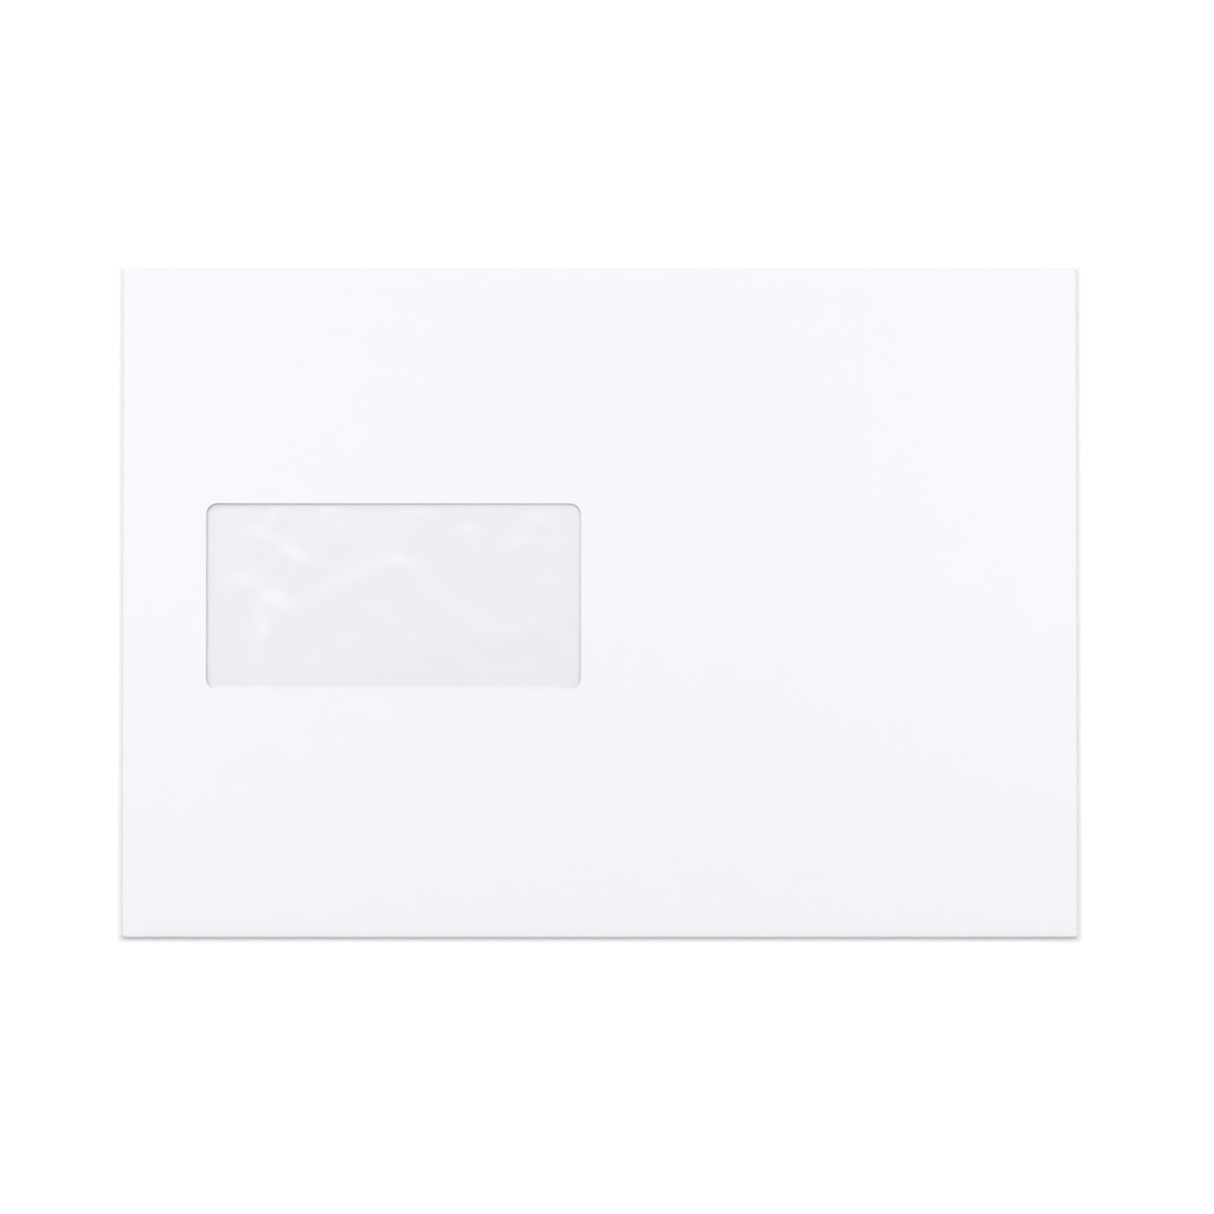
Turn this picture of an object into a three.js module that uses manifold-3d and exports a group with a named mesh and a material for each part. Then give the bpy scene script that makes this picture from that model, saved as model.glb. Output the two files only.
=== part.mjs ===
// A white C5 wallet envelope with an address window, lying face up as it comes out of its box.
// One sheet of paper is cut, folded and glued into a pocket. A clear film patch closes the window from inside,
// strips of adhesive hold the seams and the patch, and the gummed seal flap is folded down behind the back panel.
// Millimetres, +Z up. The origin is the middle of the underside. +X runs along the long side, to the right of the
// address side, and +Y runs up to the top fold, where the seal flap begins.

import * as THREE from "three";
import { mergeVertices } from "three/addons/utils/BufferGeometryUtils.js";
import Module from "manifold-3d";

const wasm = await Module();
wasm.setup();

// Finished size of the envelope
const envelopeLength = 229;
const envelopeHeight = 162;

// Thickness of what it is made of: 100 g/m2 paper, 35 g/m2 film, and thin layers of adhesive and gum
const paperThickness = 0.12;
const filmThickness = 0.04;
const glueThickness = 0.03;
const gumThickness = 0.02;

// Free height inside the pocket, under the film, and between the gummed flap and the back panel
const pocketClearance = 0.84;
const flapClearance = 0.16;

// The address window, measured from the left and bottom edges of the address side
const windowLength = 90;
const windowHeight = 45;
const windowFromLeft = 20;
const windowFromBottom = 60;
const windowCornerRadius = 2.5;

// The film patch reaches past the window by its margin, and the glue ring stays clear of both edges
const filmMargin = 9;
const filmCornerRadius = 1;
const glueClearance = 2;

// Side flaps, folded in behind the front panel
const sideFlapDepth = 17;
const sideFlapTaper = THREE.MathUtils.degToRad(35);
const sideFlapCornerRadius = 4;

// Back panel, folded up over the side flaps and glued to them
const backPanelHeight = 140;
const backPanelSideInset = 2.5;
const backPanelCornerRadius = 8;

// Seal flap, folded down behind the back panel
const sealFlapDepth = 45;
const sealFlapTaper = THREE.MathUtils.degToRad(15);
const sealFlapCornerRadius = 12;

// Gum strip on the seal flap, along its free edge
const gumWidth = 12;
const gumFromEdge = 3;
const gumFromEnds = 9;
const gumCornerRadius = 3;

// Seam glue strips, between the side flaps and the back panel
const seamGlueWidth = 9;
const seamGlueFromEdge = 3;
const seamGlueFromEnds = 4;
const seamGlueCornerRadius = 1;

// How far each fold ends from the corner of the envelope, past the largest fold
const cornerRelief = 0.4;

// Straight steps in each arc
const foldSteps = 12;
const cornerSteps = 6;

// Heights of the layers, from the surface that the envelope lies on
const flapTop = paperThickness;
const backLow = flapTop + gumThickness + flapClearance;
const backTop = backLow + paperThickness;
const sideLow = backTop + glueThickness;
const sideTop = sideLow + paperThickness;
const filmLow = sideTop + pocketClearance;
const filmTop = filmLow + filmThickness;
const frontLow = filmTop + glueThickness;
const frontTop = frontLow + paperThickness;

// Outer radius of each fold: half the height between the outer faces that it joins
const sideFoldRadius = (frontTop - sideLow) / 2;
const bottomFoldRadius = (frontTop - backLow) / 2;
const topFoldRadius = frontTop / 2;
const cornerGap = topFoldRadius + cornerRelief;

// Places on the envelope, from its middle
const halfLength = envelopeLength / 2;
const halfHeight = envelopeHeight / 2;
const sideFoldLine = halfLength - sideFoldRadius;
const bottomFoldLine = halfHeight - bottomFoldRadius;
const topFoldLine = halfHeight - topFoldRadius;
const sideFoldEnd = halfHeight - cornerGap;
const crossFoldEnd = halfLength - cornerGap;
const throatLine = backPanelHeight - halfHeight;
const windowCentre = new THREE.Vector2(
  windowFromLeft + windowLength / 2 - halfLength,
  windowFromBottom + windowHeight / 2 - halfHeight,
);

// A closed outline through corners [x, y, radius]. Each corner with a radius becomes an arc that touches both edges.
function outline(corners, path = new THREE.Shape()) {
  const points = corners.map(([x, y]) => new THREE.Vector2(x, y));
  corners.forEach(([, , radius = 0], i) => {
    const corner = points[i];
    if (radius === 0) {
      if (i === 0) path.moveTo(corner.x, corner.y);
      else path.lineTo(corner.x, corner.y);
      return;
    }
    const back = points.at(i - 1).clone().sub(corner).normalize();
    const on = points[(i + 1) % points.length].clone().sub(corner).normalize();
    const halfAngle = back.angleTo(on) / 2;
    const centre = back.clone().add(on).setLength(radius / Math.sin(halfAngle)).add(corner);
    const tangent = radius / Math.tan(halfAngle);
    const start = back.clone().multiplyScalar(tangent).add(corner).sub(centre);
    const end = on.clone().multiplyScalar(tangent).add(corner).sub(centre);
    path.absarc(centre.x, centre.y, radius, start.angle(), end.angle(), back.cross(on) > 0);
  });
  path.closePath();
  return path;
}

// Corners of a rectangle about a centre, with one radius, anticlockwise.
function rectangle(centre, length, height, radius) {
  return [
    [centre.x - length / 2, centre.y - height / 2, radius],
    [centre.x + length / 2, centre.y - height / 2, radius],
    [centre.x + length / 2, centre.y + height / 2, radius],
    [centre.x - length / 2, centre.y + height / 2, radius],
  ];
}

// The window's own outline, grown by a margin on every side.
function windowCorners(margin, radius) {
  return rectangle(windowCentre, windowLength + 2 * margin, windowHeight + 2 * margin, radius);
}

// A flat layer: an outline with its lowest face at a height.
function layer(shape, low, thickness) {
  const options = { depth: thickness, bevelEnabled: false, curveSegments: cornerSteps / 2 };
  return new THREE.ExtrudeGeometry(shape, options).translate(0, 0, low);
}

// A half-round fold of the paper. It bulges along its own +X from the fold line, and runs along Y.
// turn sets which way it faces, and low is the height of the lower of the two faces that it joins.
function fold(radius, run, foldLine, low, turn) {
  const section = new THREE.Shape();
  section.absarc(0, 0, radius, -Math.PI / 2, Math.PI / 2, false);
  section.absarc(0, 0, radius - paperThickness, Math.PI / 2, -Math.PI / 2, true);
  section.closePath();
  const options = { depth: run, bevelEnabled: false, curveSegments: foldSteps / 2 };
  return new THREE.ExtrudeGeometry(section, options)
    .rotateX(Math.PI / 2)
    .translate(foldLine, run / 2, low + radius)
    .rotateZ(turn);
}

// A closed geometry as a solid that can be joined. Places are rounded, so that faces that meet hold the same numbers.
function solid(geometry) {
  const placesPerMillimetre = 1e4;
  const bare = geometry.clone();
  bare.deleteAttribute("normal");
  bare.deleteAttribute("uv");
  const position = bare.getAttribute("position");
  position.array.forEach((value, i) => {
    position.array[i] = Math.round(value * placesPerMillimetre) / placesPerMillimetre;
  });
  const merged = mergeVertices(bare);
  return new wasm.Manifold(
    new wasm.Mesh({
      numProp: 3,
      vertProperties: merged.getAttribute("position").array,
      triVerts: new Uint32Array(merged.index.array),
    }),
  );
}

// Joins closed geometries that meet face to face into one.
function join(geometries) {
  const mesh = geometries.map(solid).reduce((whole, piece) => whole.add(piece)).getMesh();
  const joined = new THREE.BufferGeometry()
    .setAttribute("position", new THREE.BufferAttribute(mesh.vertProperties, 3))
    .setIndex(new THREE.BufferAttribute(mesh.triVerts, 1))
    .toNonIndexed();
  joined.computeVertexNormals();
  return joined;
}

// Front panel: it ends at the fold lines, and its corners are cut across between the ends of the folds.
function frontPanel() {
  const shape = outline([
    [-crossFoldEnd, -bottomFoldLine],
    [crossFoldEnd, -bottomFoldLine],
    [sideFoldLine, -sideFoldEnd],
    [sideFoldLine, sideFoldEnd],
    [crossFoldEnd, topFoldLine],
    [-crossFoldEnd, topFoldLine],
    [-sideFoldLine, sideFoldEnd],
    [-sideFoldLine, -sideFoldEnd],
  ]);
  shape.holes.push(outline(windowCorners(0, windowCornerRadius), new THREE.Path()));
  return layer(shape, frontLow, paperThickness);
}

// Side flap on the left (side = -1) or on the right (side = 1), with tapered ends.
const sideFlapTip = halfLength - sideFlapDepth;
const sideFlapTipEnd = sideFoldEnd - (sideFoldLine - sideFlapTip) * Math.tan(sideFlapTaper);
function sideFlap(side) {
  const corners = [
    [side * sideFoldLine, -side * sideFoldEnd],
    [side * sideFoldLine, side * sideFoldEnd],
    [side * sideFlapTip, side * sideFlapTipEnd, sideFlapCornerRadius],
    [side * sideFlapTip, -side * sideFlapTipEnd, sideFlapCornerRadius],
  ];
  return layer(outline(corners), sideLow, paperThickness);
}

// Back panel: it narrows a little from the bottom fold to the throat, where the pocket opens.
function backPanel() {
  const throatEnd = halfLength - backPanelSideInset;
  const shape = outline([
    [-crossFoldEnd, -bottomFoldLine],
    [crossFoldEnd, -bottomFoldLine],
    [throatEnd, throatLine, backPanelCornerRadius],
    [-throatEnd, throatLine, backPanelCornerRadius],
  ]);
  return layer(shape, backLow, paperThickness);
}

// Seal flap: it tapers from the top fold to its free edge, which has round corners.
const sealFlapEdge = halfHeight - sealFlapDepth;
const sealFlapEdgeEnd = crossFoldEnd - (topFoldLine - sealFlapEdge) * Math.tan(sealFlapTaper);
function sealFlap() {
  const shape = outline([
    [crossFoldEnd, topFoldLine],
    [-crossFoldEnd, topFoldLine],
    [-sealFlapEdgeEnd, sealFlapEdge, sealFlapCornerRadius],
    [sealFlapEdgeEnd, sealFlapEdge, sealFlapCornerRadius],
  ]);
  return layer(shape, 0, paperThickness);
}

// The whole folded sheet, one piece of paper.
function foldedSheet() {
  return join([
    frontPanel(),
    fold(sideFoldRadius, 2 * sideFoldEnd, sideFoldLine, sideLow, 0),
    fold(sideFoldRadius, 2 * sideFoldEnd, sideFoldLine, sideLow, Math.PI),
    fold(bottomFoldRadius, 2 * crossFoldEnd, bottomFoldLine, backLow, -Math.PI / 2),
    fold(topFoldRadius, 2 * crossFoldEnd, topFoldLine, 0, Math.PI / 2),
    sideFlap(-1),
    sideFlap(1),
    backPanel(),
    sealFlap(),
  ]);
}

// Clear film patch, glued behind the window.
function windowFilm() {
  return join([layer(outline(windowCorners(filmMargin, filmCornerRadius)), filmLow, filmThickness)]);
}

// Ring of glue between the film patch and the paper round the window.
function windowGlue() {
  const outer = windowCorners(filmMargin - glueClearance, windowCornerRadius + glueClearance);
  const inner = windowCorners(glueClearance, windowCornerRadius + glueClearance);
  const ring = outline(outer);
  ring.holes.push(outline(inner, new THREE.Path()));
  return join([layer(ring, filmTop, glueThickness)]);
}

// Strip of seam glue between a side flap and the back panel, on the left (side = -1) or on the right (side = 1).
function seamGlue(side) {
  const lowEnd = -sideFlapTipEnd + seamGlueFromEnds;
  const highEnd = Math.min(throatLine, sideFlapTipEnd) - seamGlueFromEnds;
  const centre = new THREE.Vector2(
    side * (sideFlapTip + seamGlueFromEdge + seamGlueWidth / 2),
    (lowEnd + highEnd) / 2,
  );
  const corners = rectangle(centre, seamGlueWidth, highEnd - lowEnd, seamGlueCornerRadius);
  return join([layer(outline(corners), backTop, glueThickness)]);
}

// Gum strip on the inner face of the seal flap. Its ends run with the flap's tapered ends.
function flapGum() {
  const low = sealFlapEdge + gumFromEdge;
  const lowEnd = sealFlapEdgeEnd - gumFromEnds;
  const highEnd = lowEnd + gumWidth * Math.tan(sealFlapTaper);
  const shape = outline([
    [-lowEnd, low, gumCornerRadius],
    [lowEnd, low, gumCornerRadius],
    [highEnd, low + gumWidth, gumCornerRadius],
    [-highEnd, low + gumWidth, gumCornerRadius],
  ]);
  return join([layer(shape, flapTop, gumThickness)]);
}

const paper = new THREE.MeshStandardMaterial({ color: "#f7f7fa", roughness: 0.85 });
const clearFilm = new THREE.MeshStandardMaterial({
  color: "#f2f3f5",
  roughness: 0.15,
  transparent: true,
  opacity: 0.25,
});
const dryGlue = new THREE.MeshStandardMaterial({ color: "#f1efe6", roughness: 0.4 });
const dryGum = new THREE.MeshStandardMaterial({ color: "#efeadb", roughness: 0.25 });

const envelope = new THREE.Group();

function add(name, geometry, material) {
  const mesh = new THREE.Mesh(geometry, material);
  mesh.name = name;
  envelope.add(mesh);
}

add("folded_paper_sheet", foldedSheet(), paper);
add("window_film", windowFilm(), clearFilm);
add("window_glue_ring", windowGlue(), dryGlue);
add("side_seam_glue_left", seamGlue(-1), dryGlue);
add("side_seam_glue_right", seamGlue(1), dryGlue);
add("seal_flap_gum", flapGum(), dryGum);

export default envelope;
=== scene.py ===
# %% [markdown]
# # A white window envelope
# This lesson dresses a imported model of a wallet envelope, 229 x 162 mm, that lies address side up on a table.
# The model gives the sizes, the layers and the frame. Blender adds what the eye looks for: paper with soft
# folds and a slight sag, a puckered window film that catches the light, and dried glue and gum.
# Everything is in metres, in the model's own frame: +X to the right, +Y to the top fold, +Z up.

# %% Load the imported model
import math

import bmesh
import bpy
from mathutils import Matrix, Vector


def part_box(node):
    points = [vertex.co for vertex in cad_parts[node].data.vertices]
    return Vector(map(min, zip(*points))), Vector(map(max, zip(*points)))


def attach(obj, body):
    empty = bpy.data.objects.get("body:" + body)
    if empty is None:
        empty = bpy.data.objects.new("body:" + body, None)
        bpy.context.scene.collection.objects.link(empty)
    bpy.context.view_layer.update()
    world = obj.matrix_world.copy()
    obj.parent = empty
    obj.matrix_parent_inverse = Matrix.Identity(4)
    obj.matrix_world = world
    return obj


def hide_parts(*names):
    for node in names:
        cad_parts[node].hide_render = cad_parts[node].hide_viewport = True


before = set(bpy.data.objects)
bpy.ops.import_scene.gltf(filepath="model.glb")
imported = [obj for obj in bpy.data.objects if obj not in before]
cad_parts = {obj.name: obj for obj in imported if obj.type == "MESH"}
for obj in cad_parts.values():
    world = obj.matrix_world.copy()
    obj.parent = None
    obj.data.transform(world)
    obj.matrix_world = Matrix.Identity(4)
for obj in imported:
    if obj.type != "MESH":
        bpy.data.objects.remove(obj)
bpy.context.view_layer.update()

mm = 0.001

# %% [markdown]
# ## Sizes
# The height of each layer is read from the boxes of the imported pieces, so that the new pieces lie where the old
# ones do. The lowest layer is the seal flap. The gum lies on it, so the gum's underside is one thickness of
# paper up. Above come the back panel, the seam glue, the side flaps, the empty pocket, the film, its ring of
# glue and the front panel. The radius of a fold is half the height between the layers that it joins. A fold is
# pressed, so its bend is squeezed to half that radius across: a blunt crease and not a tube. Each fold stops a
# little short of the next one at the corner, as the die leaves it, or the two would run into each other.

# %% Heights of the layers, and the folds
sheet_low, sheet_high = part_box("folded_paper_sheet")
film_low, film_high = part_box("window_film")
ring_low, ring_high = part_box("window_glue_ring")
seam_low, seam_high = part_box("side_seam_glue_right")
gum_low, gum_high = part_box("seal_flap_gum")

paper_thickness = gum_low.z
back_low = seam_low.z - paper_thickness
side_low = seam_high.z
front_top = sheet_high.z

side_radius = (front_top - side_low) / 2
bottom_radius = (front_top - back_low) / 2
top_radius = front_top / 2

fold_squeeze = 0.5
side_line = sheet_high.x - fold_squeeze * side_radius
bottom_line = sheet_low.y + fold_squeeze * bottom_radius
top_line = sheet_high.y - fold_squeeze * top_radius
print(f"paper {paper_thickness / mm:.2f} mm thick")
print(f"folds at x {side_line / mm:.2f}, y {bottom_line / mm:.2f} and y {top_line / mm:.2f} mm")

# %% Outline of the cut sheet and its window
corner_gap = fold_squeeze * top_radius + 0.06 * mm
side_end = sheet_high.y - corner_gap
cross_end = sheet_high.x - corner_gap

side_flap_tip = sheet_high.x - 17 * mm
side_flap_tip_end = side_end - (side_line - side_flap_tip) * math.tan(math.radians(35))
side_flap_round = 4 * mm

throat_line = sheet_low.y + 140 * mm
throat_end = sheet_high.x - 2.5 * mm
throat_round = 8 * mm

seal_flap_taper = math.radians(15)
seal_flap_edge = sheet_high.y - 45 * mm
seal_flap_edge_end = cross_end - (top_line - seal_flap_edge) * math.tan(seal_flap_taper)
seal_flap_round = 12 * mm

film_margin = 9 * mm
film_round = 1 * mm
window_low = film_low + Vector((film_margin, film_margin, 0))
window_high = film_high - Vector((film_margin, film_margin, 0))
window_round = 2.7 * mm
window_size = window_high - window_low
print(f"window {window_size.x / mm:.1f} x {window_size.y / mm:.1f} mm")

# %% [markdown]
# ## Working as by hand
# In edit mode an operator acts on all that is selected. So each helper first deselects everything, and then
# selects vertices, edges or faces by their place. A trim is a bisect that throws away what lies past a plane.
# A round corner is a few trims along tangents of its arc, which keeps the grid of faces inside as it is. The
# grid matters here: flat paper needs no faces, but paper that sags does.

# %% Select as by hand
def make_active(piece):
    bpy.ops.object.select_all(action="DESELECT")
    piece.select_set(True)
    bpy.context.view_layer.objects.active = piece


def start_editing(piece):
    make_active(piece)
    bpy.ops.object.mode_set(mode="EDIT")


def stop_editing():
    bpy.ops.object.mode_set(mode="OBJECT")


def pick(piece, kind, test):
    """Selects the vertices, edges or faces whose every corner passes the test."""
    bpy.ops.mesh.select_mode(type=kind)
    bpy.ops.mesh.select_all(action="DESELECT")
    mesh = bmesh.from_edit_mesh(piece.data)
    parts = {"VERT": mesh.verts, "EDGE": mesh.edges, "FACE": mesh.faces}[kind]
    for part in parts:
        corners = [part] if kind == "VERT" else part.verts
        if all(test(corner.co) for corner in corners):
            part.select = True
    mesh.select_flush_mode()
    bmesh.update_edit_mesh(piece.data)


# %% Trim and round
def trim(piece, test, point, outward):
    """Cuts away what passes the test and lies past an upright plane."""
    pick(piece, "FACE", test)
    bpy.ops.mesh.bisect(
        plane_co=(point.x, point.y, 0),
        plane_no=(outward.x, outward.y, 0),
        clear_outer=True,
        threshold=0.0005 * mm,
    )


def cut_outline(piece, test, corners, closed=False, cuts=6):
    """Trims a layer along corners (x, y, radius), which run anticlockwise, and rounds those with a radius."""
    points = [Vector(corner[:2]) for corner in corners]
    count = len(points)
    edges = [(points[(i + 1) % count] - points[i]).normalized() for i in range(count)]
    outwards = [Vector((edge.y, -edge.x)) for edge in edges]
    for i in range(count if closed else count - 1):
        trim(piece, test, points[i], outwards[i])
    for i in range(0 if closed else 1, count if closed else count - 1):
        radius = corners[i][2]
        before, after = outwards[i - 1], outwards[i]
        centre = points[i] - (before + after) * radius / (1 + before.dot(after))
        bearing, turn = math.atan2(before.y, before.x), before.angle(after)
        for cut in range(cuts if radius else 0):
            along = bearing + turn * (cut + 0.5) / cuts
            outward = Vector((math.cos(along), math.sin(along)))
            trim(piece, test, centre + radius * outward, outward)


# %% Apply a modifier, and add a grid
def apply_modifier(piece, kind, **settings):
    """Adds a modifier with its settings and applies it at once."""
    make_active(piece)
    modifier = piece.modifiers.new(kind.lower(), kind)
    for name, value in settings.items():
        setattr(modifier, name, value)
    bpy.ops.object.modifier_apply(modifier=modifier.name)


def flat_grid(name, low, high, height, cell):
    """A flat grid of nearly square cells over a rectangle, with its place in its mesh."""
    size = high - low
    bpy.ops.object.select_all(action="DESELECT")
    bpy.ops.mesh.primitive_grid_add(
        x_subdivisions=round(size.x / cell),
        y_subdivisions=round(size.y / cell),
        size=1,
        location=((low.x + high.x) / 2, (low.y + high.y) / 2, height),
    )
    piece = bpy.context.object
    piece.name = piece.data.name = name
    piece.scale = (size.x, size.y, 1)
    bpy.ops.object.transform_apply(location=True, rotation=True, scale=True)
    return piece


# %% [markdown]
# ## The folded sheet
# A wallet envelope is one sheet of paper. It is die cut flat, with a window, two side flaps, a back panel and a
# seal flap, and then folded. A cloth simulation could fold it, but the crease would be up to the solver. Here
# each fold is a spin: the edge of the front panel turns half a circle about the fold's own axis and draws the
# bend behind it. A flap is then extruded from the end of the bend, back under the panel, row by row.
# The mesh is the outer skin of the paper, and gets its thickness at the end.

# %% Front panel, with its corners cut across
paper_cell = 3 * mm
near = 0.001 * mm


def same(value, place):
    return abs(value - place) < near


panel_low = Vector((-side_line, bottom_line, 0))
panel_high = Vector((side_line, top_line, 0))
sheet = flat_grid("envelope_paper", panel_low, panel_high, front_top, paper_cell)
start_editing(sheet)
for side in (-1, 1):
    for end, line in ((side_end, top_line), (-side_end, bottom_line)):
        corner = [(side * side_line, end, 0), (side * cross_end, line, 0)]
        cut_outline(sheet, lambda co: True, corner if side * end > 0 else corner[::-1])
print("front panel:", len(bmesh.from_edit_mesh(sheet.data).faces), "faces")

# %% Folds and flaps
fold_steps = 10
up = Vector((0, 0, 1))


def fold_over(piece, outward, line, radius, flap_length):
    """Turns an edge of the panel half round under it, squeezes the bend, and draws a flap back from it."""

    def on_line(height):
        return lambda co: same(co.dot(outward), line) and same(co.z, height)

    centre = line * outward + (front_top - radius) * up
    pick(piece, "EDGE", on_line(front_top))
    bpy.ops.mesh.spin(steps=fold_steps, angle=math.pi, center=centre, axis=outward.cross(up))
    pick(piece, "VERT", lambda co: co.dot(outward) > line + near)
    squeeze = [1 - (1 - fold_squeeze) * abs(share) for share in outward]
    bpy.ops.transform.resize(value=squeeze, center_override=centre)
    pick(piece, "EDGE", on_line(front_top - 2 * radius))
    rows = round(flap_length / paper_cell)
    for row in range(rows):
        bpy.ops.mesh.extrude_region_move(TRANSFORM_OT_translate={"value": -outward * flap_length / rows})


right, far = Vector((1, 0, 0)), Vector((0, 1, 0))
fold_over(sheet, right, side_line, side_radius, side_line - side_flap_tip)
fold_over(sheet, -right, side_line, side_radius, side_line - side_flap_tip)
fold_over(sheet, -far, -bottom_line, bottom_radius, throat_line - bottom_line)
fold_over(sheet, far, top_line, top_radius, top_line - seal_flap_edge)
places = [v.co / mm for v in bmesh.from_edit_mesh(sheet.data).verts]
for axis in range(3):
    print("xyz"[axis], round(min(p[axis] for p in places), 2), "to", round(max(p[axis] for p in places), 2), "mm")

# %% [markdown]
# The flaps are still plain rectangles. A die cuts them before they are folded. Here the same cuts are made on the
# folded layers: each layer has a height of its own, so a test on height picks it and leaves the others whole.

# %% Taper the flaps and round their corners
for side in (-1, 1):
    side_flap = [
        (side * side_line, side_end, 0),
        (side * side_flap_tip, side_flap_tip_end, side_flap_round),
        (side * side_flap_tip, -side_flap_tip_end, side_flap_round),
        (side * side_line, -side_end, 0),
    ]
    cut_outline(
        sheet,
        lambda co: same(co.z, side_low) and co.x * side > 0,
        side_flap if side > 0 else side_flap[::-1],
    )
back_panel = [
    (cross_end, bottom_line, 0),
    (throat_end, throat_line, throat_round),
    (-throat_end, throat_line, throat_round),
    (-cross_end, bottom_line, 0),
]
cut_outline(sheet, lambda co: same(co.z, back_low), back_panel)
seal_flap = [
    (-cross_end, top_line, 0),
    (-seal_flap_edge_end, seal_flap_edge, seal_flap_round),
    (seal_flap_edge_end, seal_flap_edge, seal_flap_round),
    (cross_end, top_line, 0),
]
cut_outline(sheet, lambda co: same(co.z, 0), seal_flap, cuts=10)
print("cut and folded:", len(bmesh.from_edit_mesh(sheet.data).faces), "faces")

# %% Turn the skin's faces outwards
bpy.ops.mesh.select_all(action="SELECT")
bpy.ops.mesh.remove_doubles(threshold=near)
bpy.ops.mesh.normals_make_consistent(inside=False)
skin = bmesh.from_edit_mesh(sheet.data)
upward = [face.normal.z > 0 for face in skin.faces if same(face.calc_center_median().z, front_top)]
if upward.count(True) < upward.count(False):
    bpy.ops.mesh.flip_normals()
print("front panel faces up:", max(upward.count(True), upward.count(False)), "of", len(upward))
stop_editing()

# %% Give the paper its thickness
apply_modifier(sheet, "SOLIDIFY", thickness=paper_thickness, offset=-1, use_even_offset=True)

# %% [markdown]
# ## The window
# The window is punched through the front panel. The punch is modelled as the real one is: a plate with round
# corners, which is a plane with bevelled corners drawn up into a block, and then used as a Boolean cutter.

# %% Punch the window
def punch_block(low, high, radius, bottom, top):
    """A block with round corners, between two heights."""
    bpy.ops.object.select_all(action="DESELECT")
    bpy.ops.mesh.primitive_plane_add(size=1, location=((low.x + high.x) / 2, (low.y + high.y) / 2, bottom))
    block = bpy.context.object
    block.scale = (high.x - low.x, high.y - low.y, 1)
    bpy.ops.object.transform_apply(location=True, rotation=True, scale=True)
    start_editing(block)
    bpy.ops.mesh.select_all(action="SELECT")
    bpy.ops.mesh.bevel(offset=radius, offset_type="OFFSET", segments=10, affect="VERTICES")
    bpy.ops.mesh.select_all(action="SELECT")
    bpy.ops.mesh.extrude_region_move(TRANSFORM_OT_translate={"value": (0, 0, top - bottom)})
    bpy.ops.mesh.select_all(action="SELECT")
    bpy.ops.mesh.normals_make_consistent(inside=False)
    stop_editing()
    return block


def punch(piece, low, high, radius, bottom, top):
    block = punch_block(low, high, radius, bottom, top)
    apply_modifier(piece, "BOOLEAN", operation="DIFFERENCE", object=block, solver="EXACT")
    bpy.data.objects.remove(block)


punch_reach = 0.4 * mm
punch(sheet, window_low, window_high, window_round, ring_high.z - punch_reach, front_top + punch_reach)
print("paper:", len(sheet.data.polygons), "faces")

# %% [markdown]
# ## The window film
# The window is closed by a patch of clear polystyrene film, glued to the back of the panel. The glue draws as it
# dries, and the thin film puckers: low ridges run across it, and it bellies a little into the pocket. A ridge is
# made as a modeller would: the vertices along a line are lifted with proportional editing. Its linear falloff
# gives even flanks, like those of a pleat, and a little smoothing rounds the crests. The lines are set in
# millimetres from the window's top left corner. The lamp shines on the flank that faces the top left, so each
# crest lies just past its lit flank.

# %% Film patch
film_cell = 0.6 * mm
film_middle = (film_low.z + film_high.z) / 2
film = flat_grid("clear_window_film", film_low, film_high, film_middle, film_cell)
film_corners = [
    (film_low.x, film_low.y, film_round),
    (film_high.x, film_low.y, film_round),
    (film_high.x, film_high.y, film_round),
    (film_low.x, film_high.y, film_round),
]
start_editing(film)
cut_outline(film, lambda co: True, film_corners, closed=True)
stop_editing()
print("film:", len(film.data.polygons), "faces")

# %% Belly of the film
belly_depth = 0.5 * mm
belly_edge = 2 * mm


def over_window(co):
    return window_low.x < co.x < window_high.x and window_low.y < co.y < window_high.y


def lift(piece, test, height, reach, falloff):
    """Lifts what passes the test, and what lies round it up to a reach, less and less."""
    pick(piece, "VERT", test)
    bpy.ops.transform.translate(
        value=(0, 0, height),
        use_proportional_edit=True,
        proportional_edit_falloff=falloff,
        proportional_size=reach,
    )


start_editing(film)
lift(film, over_window, -belly_depth, belly_edge, "SMOOTH")

# %% Ridges of the film
def distance_to_line(place, points):
    """Distance from a place to a line of straight stretches, in the plane."""
    nearest = math.inf
    for start, end in zip(points, points[1:]):
        along = end - start
        share = max(0, min(1, (place - start).dot(along) / along.length_squared))
        nearest = min(nearest, (place - start - share * along).length)
    return nearest


def ridge(piece, line, height, reach):
    """A ridge along a line of places, given in mm right of and below the window's top left corner."""
    points = [Vector((window_low.x + x * mm, window_high.y - y * mm)) for x, y in line]
    lift(piece, lambda co: distance_to_line(co.xy, points) < 0.6 * film_cell, height, reach, "LINEAR")


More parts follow.
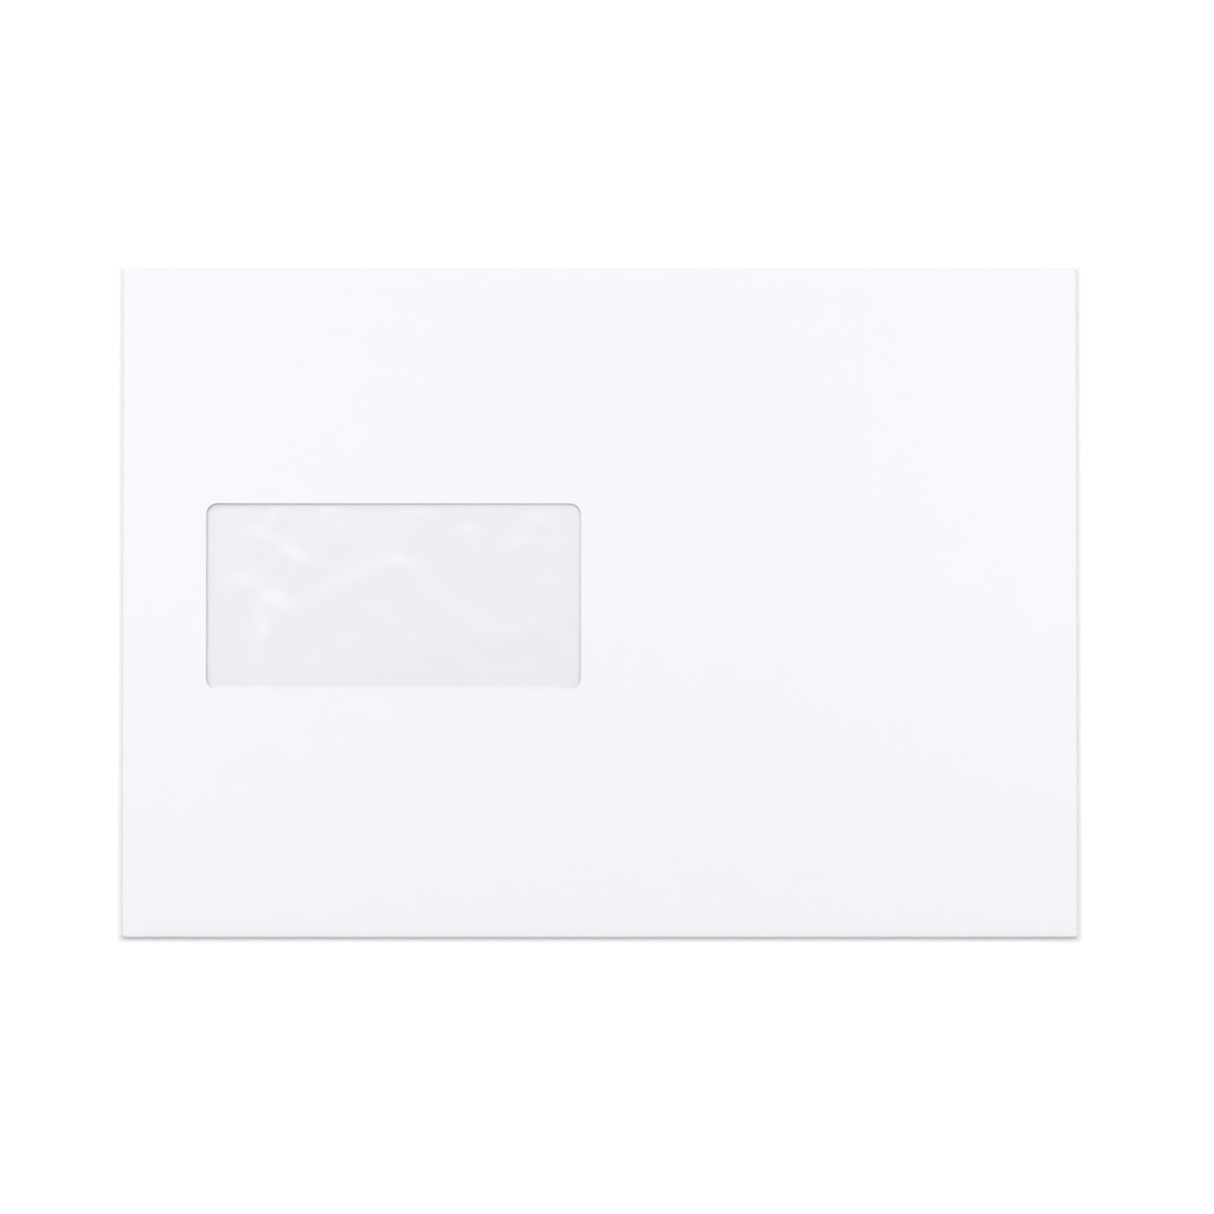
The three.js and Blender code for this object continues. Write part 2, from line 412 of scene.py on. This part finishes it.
ridges = [
    # the fork at the left: its left arm, its stem in two, and its right arm, which rises and then falls
    ([(8.6, 20.2), (11.8, 22), (14, 24.2)], 0.27, 4.4),
    ([(16.8, 25.8), (15.8, 29), (15, 32.4), (16.4, 38.6)], 0.36, 5.2),
    ([(17.4, 26), (16.6, 29.6)], 0.1, 4),
    ([(17, 31), (22.8, 27.2), (29.4, 22.9), (36.6, 19.2), (43.2, 15.8), (46, 14.9)], 0.27, 4.2),
    ([(48.4, 16.6), (49.8, 18.9), (51.2, 21.9), (54.8, 24.9), (58.4, 27.9), (64.4, 31.8), (67, 32.8)], 0.46, 5),
    # a lower ridge beside the falling one, and one that runs up from the peak
    ([(37.2, 26.6), (42, 28.5), (46.2, 32.1), (50.4, 35.1), (55.8, 37.5)], 0.29, 3.8),
    ([(49.4, 10.8), (49.8, 8.6), (52, 3.8)], 0.25, 3.4),
    # puckers that start at the top edge
    ([(12.8, 8.6), (17.6, 12), (23, 15.4)], 0.26, 4.4),
    ([(19.8, 13.4), (23, 15.4)], 0.13, 3),
    ([(17.1, 1.8), (17.1, 5.2)], 0.24, 2),
    ([(29.6, 2.2), (31.2, 6.6), (32.4, 8.4)], 0.34, 2.8),
    ([(62.9, 7.6), (63.2, 11.2), (63.8, 14.8)], 0.32, 3),
    ([(73.4, 12), (77.2, 9.9), (79.2, 6)], 0.28, 4),
    ([(77.8, 10.4), (83.4, 11.6)], 0.2, 3),
    # short ones along the right and bottom edges
    ([(82.2, 20.1), (82.6, 27.4)], 0.27, 3),
    ([(73, 32.8), (77.4, 31.4), (81.4, 31), (86, 36.8), (87.4, 42)], 0.26, 3.6),
    ([(33.8, 34), (35.6, 39.2)], 0.3, 2.8),
    ([(25.8, 38.2), (26.4, 41.8)], 0.24, 2.4),
]
for line, height, reach in ridges:
    ridge(film, line, height * mm, reach * mm)
print(len(ridges), "ridges")

# %% Round the crests, and give the film its thickness
bpy.ops.mesh.select_all(action="SELECT")
bpy.ops.mesh.vertices_smooth(factor=0.5, repeat=3, xaxis=False, yaxis=False)
stop_editing()
film_thickness = film_high.z - film_low.z
apply_modifier(film, "SOLIDIFY", thickness=film_thickness, offset=0)
print("film:", len(film.data.polygons), "faces")

# %% [markdown]
# ## Glue and gum
# The rest is thin and mostly out of sight: a ring of glue that holds the film, a strip of glue in each side seam
# and a strip of gum on the seal flap. Each is a flat grid cut to its outline and given its thickness. They
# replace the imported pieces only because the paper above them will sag, and they have to sag with it.

# %% Strips and ring
glue_cell = 3 * mm


def strip(name, low, high, corners):
    """A thin layer between two heights, cut to an outline."""
    piece = flat_grid(name, low, high, low.z, glue_cell)
    start_editing(piece)
    cut_outline(piece, lambda co: True, corners, closed=True)
    stop_editing()
    apply_modifier(piece, "SOLIDIFY", thickness=high.z - low.z, offset=1)
    return piece


def box_corners(low, high, radius):
    return [(low.x, low.y, radius), (high.x, low.y, radius), (high.x, high.y, radius), (low.x, high.y, radius)]


seam_round = 1 * mm
seams = []
for side in ("left", "right"):
    low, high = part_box("side_seam_glue_" + side)
    seams.append(strip("seam_glue_" + side, low, high, box_corners(low, high, seam_round)))

ring_round = 4.5 * mm
ring_hole = Vector((2 * mm, 2 * mm, 0))
ring = strip("window_glue", ring_low, ring_high, box_corners(ring_low, ring_high, ring_round))
punch_bottom, punch_top = ring_low.z - punch_reach, ring_high.z + punch_reach
punch(ring, window_low - ring_hole, window_high + ring_hole, ring_round, punch_bottom, punch_top)

gum_slant = (gum_high.y - gum_low.y) * math.tan(seal_flap_taper)
gum_round = 3 * mm
gum_corners = [
    (gum_low.x + gum_slant, gum_low.y, gum_round),
    (gum_high.x - gum_slant, gum_low.y, gum_round),
    (gum_high.x, gum_high.y, gum_round),
    (gum_low.x, gum_high.y, gum_round),
]
gum = strip("flap_gum", gum_low, gum_high, gum_corners)
print("glue and gum:", [len(piece.data.polygons) for piece in (*seams, ring, gum)], "faces")

# %% [markdown]
# ## Sag
# The folds spring back a little and hold the edges of the envelope open, and the panel between them sags into
# the pocket. All pieces have to bend together, or the film would part from the panel. A lattice does that: it is
# a cage of a few points round the whole envelope, and what is inside follows the points. Its bottom layer stays
# on the table, and its top layer is pressed down in the middle. No sheet of paper sags evenly, so a few wide
# swells, a tenth of a millimetre high or deep, go on top.

# %% Sag and swells
sag = 0.85 * mm
# low and high places of the panel: mm from its middle, reach in mm and height in mm
swells = [
    (-70, 45, 45, 0.10),
    (60, 40, 60, -0.08),
    (85, -45, 40, 0.09),
    (-30, -55, 50, -0.08),
    (5, -8, 18, 0.10),
]

# %% Bend everything with one lattice
cage_points = (11, 9, 2)
bpy.ops.object.select_all(action="DESELECT")
bpy.ops.object.add(type="LATTICE", location=(sheet_low + sheet_high) / 2)
cage = bpy.context.object
cage.scale = sheet_high - sheet_low
cage.data.points_u, cage.data.points_v, cage.data.points_w = cage_points
cage.data.interpolation_type_w = "KEY_LINEAR"
for point in cage.data.points:
    if point.co.z > 0:
        across, along = 2 * point.co.x, 2 * point.co.y
        place = Vector((point.co.x * cage.scale.x, point.co.y * cage.scale.y)) / mm
        height = -sag * (1 - across**4) * (1 - along**4)
        for x, y, reach, swell in swells:
            share = max(0, 1 - (place - Vector((x, y))).length / reach)
            height += swell * mm * (1 - across**4) * (1 - along**4) * share**2 * (3 - 2 * share)
        point.co_deform.z += height / cage.scale.z

pieces = [sheet, film, ring, *seams, gum]
for piece in pieces:
    apply_modifier(piece, "LATTICE", object=cage)
    bpy.ops.object.shade_smooth_by_angle(angle=math.radians(35))
bpy.data.objects.remove(cage)

# %% [markdown]
# ## Materials
# Colours are written as in a paint program, in sRGB hex, and one function turns them to linear light. One small
# function adds a node with its settings and links. Patterns read Object coordinates, in metres, so the scale of
# a noise is one over the real size of its grain.

# %% Colour and node helpers
def colour(code):
    """An sRGB hex colour as linear red, green, blue and alpha."""
    channels = [int(code[i : i + 2], 16) / 255 for i in (1, 3, 5)]
    return [c / 12.92 if c <= 0.04045 else ((c + 0.055) / 1.055) ** 2.4 for c in channels] + [1]


def add_node(tree, kind, inputs=None, **settings):
    """Adds a node. settings are its properties, and inputs are its sockets' values or the sockets that feed them."""
    node = tree.nodes.new("ShaderNode" + kind)
    for name, value in settings.items():
        setattr(node, name, value)
    for name, value in (inputs or {}).items():
        if isinstance(value, bpy.types.NodeSocket):
            tree.links.new(value, node.inputs[name])
        else:
            node.inputs[name].default_value = value
    return node


def new_material(name):
    material = bpy.data.materials.new(name)
    material.use_nodes = True
    material.node_tree.nodes.clear()
    return material


def grain(size):
    """The scale of a noise whose grains are about this large, in metres."""
    return 1 / size


def seen_directly(tree):
    """1 for what the camera, a mirror or something clear shows, and 0 for what only lights the scene."""
    rays = add_node(tree, "LightPath").outputs
    seen = add_node(tree, "Math", {0: rays["Is Camera Ray"], 1: rays["Is Glossy Ray"]}, operation="MAXIMUM")
    seen = add_node(tree, "Math", {0: seen.outputs["Value"], 1: rays["Is Transmission Ray"]}, operation="MAXIMUM")
    return seen.outputs["Value"]


# %% [markdown]
# The paper is white wove, uncoated, about 100 g/m2, with a brightener that makes it faintly blue. It is matte and
# nearly even. A close look finds three things: a cloudiness where the fibres lie denser, a few millimetres wide,
# a fine tooth, and rare grey flecks. The tooth of real paper is under 0.1 mm. It is drawn at 0.35 mm here, as
# coarse as it needs to be to show.

# %% Clouds of the uncoated wove paper
paper = new_material("uncoated_wove_paper")
tree = paper.node_tree
place = add_node(tree, "TexCoord").outputs["Object"]
clouds = add_node(tree, "TexNoise", {"Vector": place, "Scale": grain(7 * mm), "Detail": 3.0})
tone = add_node(
    tree,
    "Mix",
    {"Factor": clouds.outputs["Fac"], "A": colour("#f6f6fa"), "B": colour("#f8f8fc")},
    data_type="RGBA",
)

# %% Flecks of the paper
# place in mm right of and below the sheet's top left corner, radius in mm and strength
flecks = [((12.2, 22.2), 0.34, 0.35), ((71.4, 16.6), 0.3, 0.16)]
tone_out = tone.outputs["Result"]
for (x, y), radius, strength in flecks:
    spot = (sheet_low.x + x * mm, sheet_high.y - y * mm, front_top)
    away = add_node(tree, "VectorMath", {0: place, 1: spot}, operation="DISTANCE")
    cover = add_node(
        tree,
        "MapRange",
        {"Value": away.outputs["Value"], "From Min": radius * mm, "From Max": 0.3 * radius * mm, "To Max": strength},
        interpolation_type="SMOOTHSTEP",
    )
    tone_out = add_node(
        tree,
        "Mix",
        {"Factor": cover.outputs["Result"], "A": tone_out, "B": colour("#8d8a84")},
        data_type="RGBA",
    ).outputs["Result"]

# %% Tooth and fibres of the paper
tooth = add_node(tree, "TexNoise", {"Vector": place, "Scale": grain(0.35 * mm), "Detail": 2.0})
stretched = add_node(tree, "Mapping", {"Vector": place, "Scale": (0.25, 1, 1)})
fibres = add_node(tree, "TexNoise", {"Vector": stretched.outputs["Vector"], "Scale": grain(0.5 * mm), "Detail": 3.0})
relief = add_node(tree, "Math", {0: tooth.outputs["Fac"], 1: fibres.outputs["Fac"]}, operation="ADD")
bump = add_node(tree, "Bump", {"Height": relief.outputs["Value"], "Strength": 0.25, "Distance": 0.01 * mm})
dullness = add_node(tree, "MapRange", {"Value": fibres.outputs["Fac"], "To Min": 0.82, "To Max": 0.94})
surface = add_node(
    tree,
    "BsdfPrincipled",
    {
        "Base Color": tone_out,
        "Roughness": dullness.outputs["Result"],
        "Normal": bump.outputs["Normal"],
        "IOR": 1.47,
    },
)
add_node(tree, "OutputMaterial", {"Surface": surface.outputs["BSDF"]})

# %% [markdown]
# The film is clear cast polystyrene, 40 micrometres thick. It mirrors about 4% of the light when seen head on and
# far more at a low angle, as in Schlick's formula: the share grows with the fifth power of one less the cosine.
# What it doesn't mirror goes straight through, because so thin a film doesn't bend what is behind it. A
# Transparent shader also lets the lamps in, so the inside of the envelope is lit.

# %% Clear polystyrene film
clear_film = new_material("clear_polystyrene_film")
tree = clear_film.node_tree
facing = add_node(tree, "LayerWeight", {"Blend": 0.5})
slant = add_node(tree, "Math", {0: facing.outputs["Facing"], 1: 5.0}, operation="POWER")
mirrored = add_node(tree, "MapRange", {"Value": slant.outputs["Value"], "To Min": 0.036, "To Max": 1.0})
through = add_node(tree, "BsdfTransparent", {"Color": colour("#fcfcfc")})
gloss = add_node(tree, "BsdfAnisotropic", {"Color": colour("#ffffff"), "Roughness": 0.18})
surface = add_node(
    tree,
    "MixShader",
    {0: mirrored.outputs["Result"], 1: through.outputs["BSDF"], 2: gloss.outputs["BSDF"]},
)
add_node(tree, "OutputMaterial", {"Surface": surface.outputs["Shader"]})

# %% [markdown]
# The seam and window glue is a white starch and PVA glue, rolled on thin. It dries to a satin, faintly creamy film
# with small ripples from the roller. The gum is dextrin, made to be licked: it dries glossier and yellower, with
# a fine orange-peel. Both are mottled where they lie thicker.

# %% Dried glue and dried gum
def dried_layer(name, thin, thick, patch, ripple, roughness, coat):
    """A dried layer of glue or gum: two tones in patches, ripples of a size, and a shine."""
    material = new_material(name)
    tree = material.node_tree
    place = add_node(tree, "TexCoord").outputs["Object"]
    patches = add_node(tree, "TexNoise", {"Vector": place, "Scale": grain(patch), "Detail": 2.0})
    tone = add_node(
        tree,
        "Mix",
        {"Factor": patches.outputs["Fac"], "A": colour(thin), "B": colour(thick)},
        data_type="RGBA",
    )
    ripples = add_node(tree, "TexNoise", {"Vector": place, "Scale": grain(ripple), "Detail": 1.0})
    bump = add_node(tree, "Bump", {"Height": ripples.outputs["Fac"], "Strength": 0.3, "Distance": 0.02 * mm})
    surface = add_node(
        tree,
        "BsdfPrincipled",
        {
            "Base Color": tone.outputs["Result"],
            "Roughness": roughness,
            "Normal": bump.outputs["Normal"],
            "IOR": 1.47,
            "Coat Weight": coat,
        },
    )
    add_node(tree, "OutputMaterial", {"Surface": surface.outputs["BSDF"]})
    return material


glue = dried_layer("dried_pva_glue", "#f3f1e9", "#ece8da", 3 * mm, 0.8 * mm, roughness=0.38, coat=0.1)
dextrin = dried_layer("dried_dextrin_gum", "#efeada", "#e6dfc6", 4 * mm, 0.5 * mm, roughness=0.24, coat=0.3)

# %% [markdown]
# ## Which piece stands for which
# Each new piece takes its material, rides on the one body of the model, and stands for the imported piece whose
# place it has, which is hidden. The table also lists the record's slot for its finish, which this script does not
# use.

# %% Hand over the pieces
stands_for = [
    (sheet, paper, "folded_paper_sheet", "white_paper"),
    (film, clear_film, "window_film", "clear_film"),
    (ring, glue, "window_glue_ring", "dry_glue"),
    (seams[0], glue, "side_seam_glue_left", "dry_glue"),
    (seams[1], glue, "side_seam_glue_right", "dry_glue"),
    (gum, dextrin, "seal_flap_gum", "dry_gum"),
]
for piece, material, node, slot in stands_for:
    piece.data.materials.clear()
    piece.data.materials.append(material)
    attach(piece, "root")
    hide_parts(node)
    print(piece.name, len(piece.data.polygons), "faces")

# %% [markdown]
# ## Table, light and camera
# The table is plain white. To the camera and in mirrors it shows a little brighter than it is, so that it goes
# out to pure white. This lift is small close to the envelope and whole from 2.6 mm on, so it paints a darker band,
# a painted shadow, along the outline on top of the real shadow. It is larger still far away, where the lamps don't
# reach.

# %% White table
table_size = 12
bpy.ops.object.select_all(action="DESELECT")
bpy.ops.mesh.primitive_plane_add(size=table_size, location=(0, 0, 0))
table = bpy.context.object
table.name = "white_table"
table_top = new_material("white_laminate")
table.data.materials.append(table_top)

# %% Distance outside the envelope's outline
tree = table_top.node_tree
spot = add_node(tree, "SeparateXYZ", {0: add_node(tree, "TexCoord").outputs["Object"]})
across = add_node(tree, "Math", {0: spot.outputs["X"]}, operation="ABSOLUTE")
along = add_node(tree, "Math", {0: spot.outputs["Y"]}, operation="ABSOLUTE")
past_side = add_node(tree, "Math", {0: across.outputs["Value"], 1: sheet_high.x}, operation="SUBTRACT")
past_end = add_node(tree, "Math", {0: along.outputs["Value"], 1: sheet_high.y}, operation="SUBTRACT")
away = add_node(tree, "Math", {0: past_side.outputs["Value"], 1: past_end.outputs["Value"]}, operation="MAXIMUM")

# %% Lift of the table to white, with a painted shadow along the outline
# Painted shadow: the lift stays at 0.09 under the envelope and up to 0.6 mm past its outline, and only reaches 0.3
# at 2.6 mm, so a band along the outline is painted darker than the lamps alone would make it.
painted_edge_shadow_lift = add_node(
    tree,
    "MapRange",
    {"Value": away.outputs["Value"], "From Min": 0.6 * mm, "From Max": 2.6 * mm, "To Min": 0.09, "To Max": 0.3},
)
far_glow = add_node(
    tree,
    "MapRange",
    {"Value": away.outputs["Value"], "From Min": 0.1, "From Max": 0.8, "To Min": 0.0, "To Max": 0.7},
)
lift_with_painted_shadow = add_node(tree, "Math", {0: painted_edge_shadow_lift.outputs["Result"], 1: far_glow.outputs["Result"]}, operation="ADD")
seen_lift_with_painted_shadow = add_node(tree, "Math", {0: seen_directly(tree), 1: lift_with_painted_shadow.outputs["Value"]}, operation="MULTIPLY")
surface = add_node(
    tree,
    "BsdfPrincipled",
    {
        "Base Color": colour("#efefef"),
        "Roughness": 0.9,
        "Emission Color": colour("#ffffff"),
        "Emission Strength": seen_lift_with_painted_shadow.outputs["Value"],
    },
)
add_node(tree, "OutputMaterial", {"Surface": surface.outputs["BSDF"]})

# %% [markdown]
# The light is what a product photo has. A large soft box stands past the top edge and one at each side. Their
# mirror images lie just past where the level film would show them, so that a slight slope towards one shines. A
# small soft lamp close to each side makes the sides a little brighter than the middle, and a low one in front
# keeps the bottom fold from going dark. The rest is light from all round.

# %% Light from all round
world = bpy.data.worlds.new("studio")
bpy.context.scene.world = world
world.use_nodes = True
tree = world.node_tree
tree.nodes.clear()
strength = add_node(tree, "MapRange", {"Value": seen_directly(tree), "To Min": 0.28, "To Max": 1.0})
surround = add_node(tree, "Background", {"Color": colour("#ffffff"), "Strength": strength.outputs["Result"]})
add_node(tree, "OutputWorld", {"Surface": surround.outputs["Background"]})

# %% Soft lamps
def soft_lamp(name, place, aim, size, power):
    """An area lamp of a width and a height that faces a point."""
    lamp = bpy.data.lights.new(name, "AREA")
    lamp.shape = "RECTANGLE"
    lamp.size, lamp.size_y = size
    lamp.energy = power
    holder = bpy.data.objects.new(name, lamp)
    bpy.context.collection.objects.link(holder)
    holder.location = place
    holder.rotation_euler = (Vector(place) - Vector(aim)).to_track_quat("Z", "Y").to_euler()
    holder.visible_camera = False
    return holder


soft_lamp("soft_box_far", (-0.1, 0.56, 0.84), (-0.1, 0, 0), (1.1, 0.78), 4.3)
soft_lamp("soft_box_left", (-0.46, 0.08, 0.82), (0, 0, 0), (0.5, 0.6), 1.15)
soft_lamp("soft_box_right", (0.44, 0.22, 0.83), (0, 0, 0), (0.5, 0.6), 1.15)
soft_lamp("side_lamp_left", (-0.3, 0, 0.29), (0, 0, 0), (0.2, 0.2), 0.27)
soft_lamp("side_lamp_right", (0.3, 0, 0.29), (0, 0, 0), (0.2, 0.2), 0.31)
soft_lamp("low_lamp_near", (0, -0.34, 0.06), (0, -0.04, 0), (0.24, 0.08), 0.11)

# %% [markdown]
# The camera of the photo looks almost straight down, and stands a little past the envelope's bottom edge. Lines
# don't converge in the photo, so the lens is long and far away.

# %% Camera
frame_width = 291.3 * mm
camera_distance = 8
camera_tilt = math.radians(7.6)
sensor = 36
aim = Vector((1.74 * mm, -1.19 * mm, front_top))

eye = bpy.data.cameras.new("camera")
eye.sensor_width = sensor
eye.lens = sensor * camera_distance / frame_width
eye.clip_start, eye.clip_end = 0.1, 100
camera = bpy.data.objects.new("camera", eye)
bpy.context.collection.objects.link(camera)
camera.rotation_euler = (camera_tilt, 0, 0)
camera.location = aim + camera_distance * Vector((0, -math.sin(camera_tilt), math.cos(camera_tilt)))
bpy.context.scene.camera = camera
bpy.context.scene.view_settings.view_transform = "Standard"
